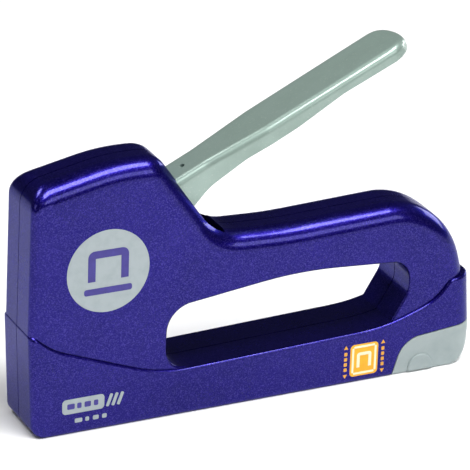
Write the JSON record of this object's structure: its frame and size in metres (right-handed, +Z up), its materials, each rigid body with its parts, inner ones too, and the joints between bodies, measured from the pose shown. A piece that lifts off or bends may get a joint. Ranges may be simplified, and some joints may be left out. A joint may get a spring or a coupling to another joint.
{
  "type": "hand staple gun",
  "caption": "Hand staple gun with a violet two-shell body, long finger hole, silver squeeze lever and a grey pull-out magazine cap at the rear.",
  "frame": {"origin": "middle of the base face, half way along the body, on the seam plane", "axes": "+X from the nose to the rear, +Z up, Y across the body"},
  "size_m": [0.1609, 0.0252, 0.117],
  "materials": {
    "violet_shell": "glossy violet moulded ABS with fine pearl flake",
    "silver_paint": "smooth satin silver-grey paint on pressed steel",
    "grey_plastic": "fine matt moulded grey ABS",
    "black_plastic": "moulded black acetal",
    "black_rubber": "moulded black rubber",
    "hard_steel": "ground hardened steel",
    "zinc_steel": "bright zinc-plated steel",
    "spring_steel": "drawn spring steel wire",
    "silver_print": "thin printed silver foil",
    "amber_label": "printed amber film"
  },
  "bodies": {
    "body": {"shell_left": "violet_shell", "shell_right": "violet_shell", "shell_screws": "zinc_steel", "round_badge": "silver_print", "size_label": "amber_label", "lever_pivot_pin": "hard_steel", "lever_return_spring": "spring_steel", "lever_stop_pin": "hard_steel", "power_spring": "spring_steel", "spring_seat": "black_plastic", "hammer_buffer": "black_rubber", "nose_plate": "hard_steel", "magazine_channel": "zinc_steel", "channel_pins": "hard_steel"},
    "lever": {"lever": "silver_paint", "lift_pin": "hard_steel"},
    "hammer": {"hammer": "hard_steel", "driver_blade": "hard_steel", "driver_rivets": "zinc_steel"},
    "magazine": {"staple_rail": "zinc_steel", "guide_rod": "zinc_steel", "pusher_spring": "spring_steel", "end_cap": "grey_plastic", "end_cap_pin": "hard_steel"},
    "pusher": {"staple_pusher": "black_plastic"}
  },
  "joints": [
    {"name": "lever_squeeze", "type": "hinge", "parent": "body", "child": "lever", "pos_m": [-0.0425, 0, 0.0655], "axis": [0, 1, 0], "range_deg": [0, 28], "stiffness_Nm_per_rad": 1.2, "springref_deg": -20.05},
    {"name": "hammer_lift", "type": "slide", "parent": "body", "child": "hammer", "axis": [0, 0, 1], "range_m": [0, 0.01184], "deforming": ["power_spring"]},
    {"name": "magazine_draw", "type": "slide", "parent": "body", "child": "magazine", "axis": [1, 0, 0], "range_m": [0, 0.1]},
    {"name": "pusher_feed", "type": "slide", "parent": "magazine", "child": "pusher", "axis": [1, 0, 0], "range_m": [0, 0.08], "stiffness_N_per_m": 25, "springref_m": -0.06, "deforming": ["pusher_spring"]}
  ],
  "couplings": [
    {"joint": "hammer_lift", "follows": "lever_squeeze", "m_per_rad": 0.024228}
  ]
}
